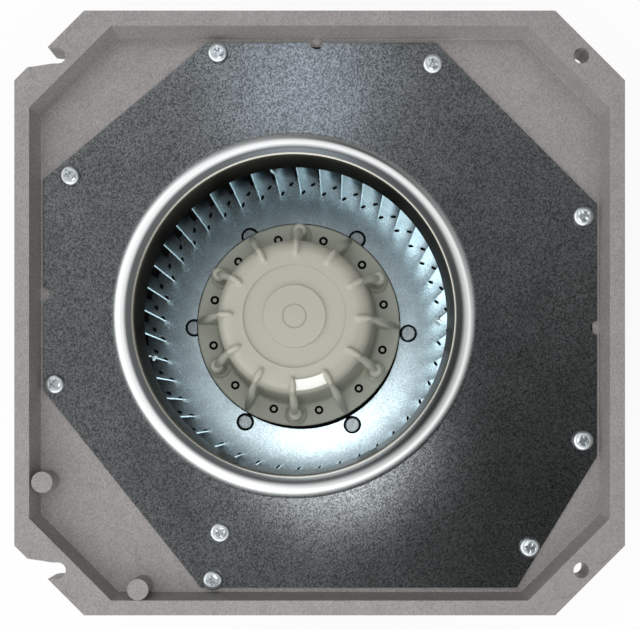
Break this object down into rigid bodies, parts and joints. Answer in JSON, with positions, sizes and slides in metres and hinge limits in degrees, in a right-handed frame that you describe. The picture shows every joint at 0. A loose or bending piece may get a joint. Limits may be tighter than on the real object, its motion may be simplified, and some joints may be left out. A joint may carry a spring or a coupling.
{
  "type": "centrifugal fan",
  "caption": "Centrifugal fan: drum wheel on an external-rotor motor in a cast scroll housing, with a bell-mouth inlet plate in a square tray.",
  "frame": {"origin": "middle of the square housing, on its back face", "axes": "+Z out of the inlet along the fan axis, -Y out of the outlet, +X to the right seen from the inlet"},
  "size_m": [0.35, 0.3466, 0.128],
  "materials": {
    "cast_aluminium": "satin die-cast",
    "galvanised_sheet": "galvanised, fine spangle",
    "galvanised_wheel": "galvanised",
    "zinc_screws": "bright zinc plate",
    "machined_aluminium": "machined",
    "brass_screw": "plain",
    "rubber": "matte",
    "spring_steel": "oiled",
    "bearing_steel": "ground",
    "lamination_steel": "stacked sheet",
    "enamelled_copper": "varnished wire",
    "insulator_plastic": "moulded",
    "black_plastic": "moulded",
    "cream_paint": "satin paint on casting"
  },
  "bodies": {
    "housing": {"inlet_tray": "cast_aluminium", "scroll_housing": "cast_aluminium", "inlet_plate": "galvanised_sheet", "inlet_plate_screws": "zinc_screws", "motor_flange": "machined_aluminium", "motor_flange_screws": "zinc_screws", "earth_screw": "brass_screw", "cable_grommet": "rubber", "bearing_cover": "zinc_screws", "preload_spring": "spring_steel", "front_bearing_outer": "bearing_steel", "rear_bearing_outer": "bearing_steel", "bearing_balls": "bearing_steel", "bearing_shields": "bearing_steel", "stator_core": "lamination_steel", "stator_winding": "enamelled_copper", "front_end_insulator": "insulator_plastic", "rear_end_insulator": "insulator_plastic", "thermal_protector": "black_plastic"},
    "impeller": {"rotor_cup": "cream_paint", "rotor_flange": "galvanised_wheel", "rotor_core": "lamination_steel", "cage_end_rings": "machined_aluminium", "shaft": "bearing_steel", "shaft_circlip": "spring_steel", "front_bearing_inner": "bearing_steel", "rear_bearing_inner": "bearing_steel", "impeller_back_plate": "galvanised_wheel", "impeller_blades": "galvanised_wheel", "impeller_front_ring": "galvanised_wheel", "hub_rivets": "zinc_screws", "balance_clips": "zinc_screws"}
  },
  "joints": [
    {"name": "impeller_spin", "type": "hinge", "parent": "housing", "child": "impeller", "pos_m": [-0.01526, 0, 0.052], "axis": [0, 0, -1], "continuous": true}
  ]
}
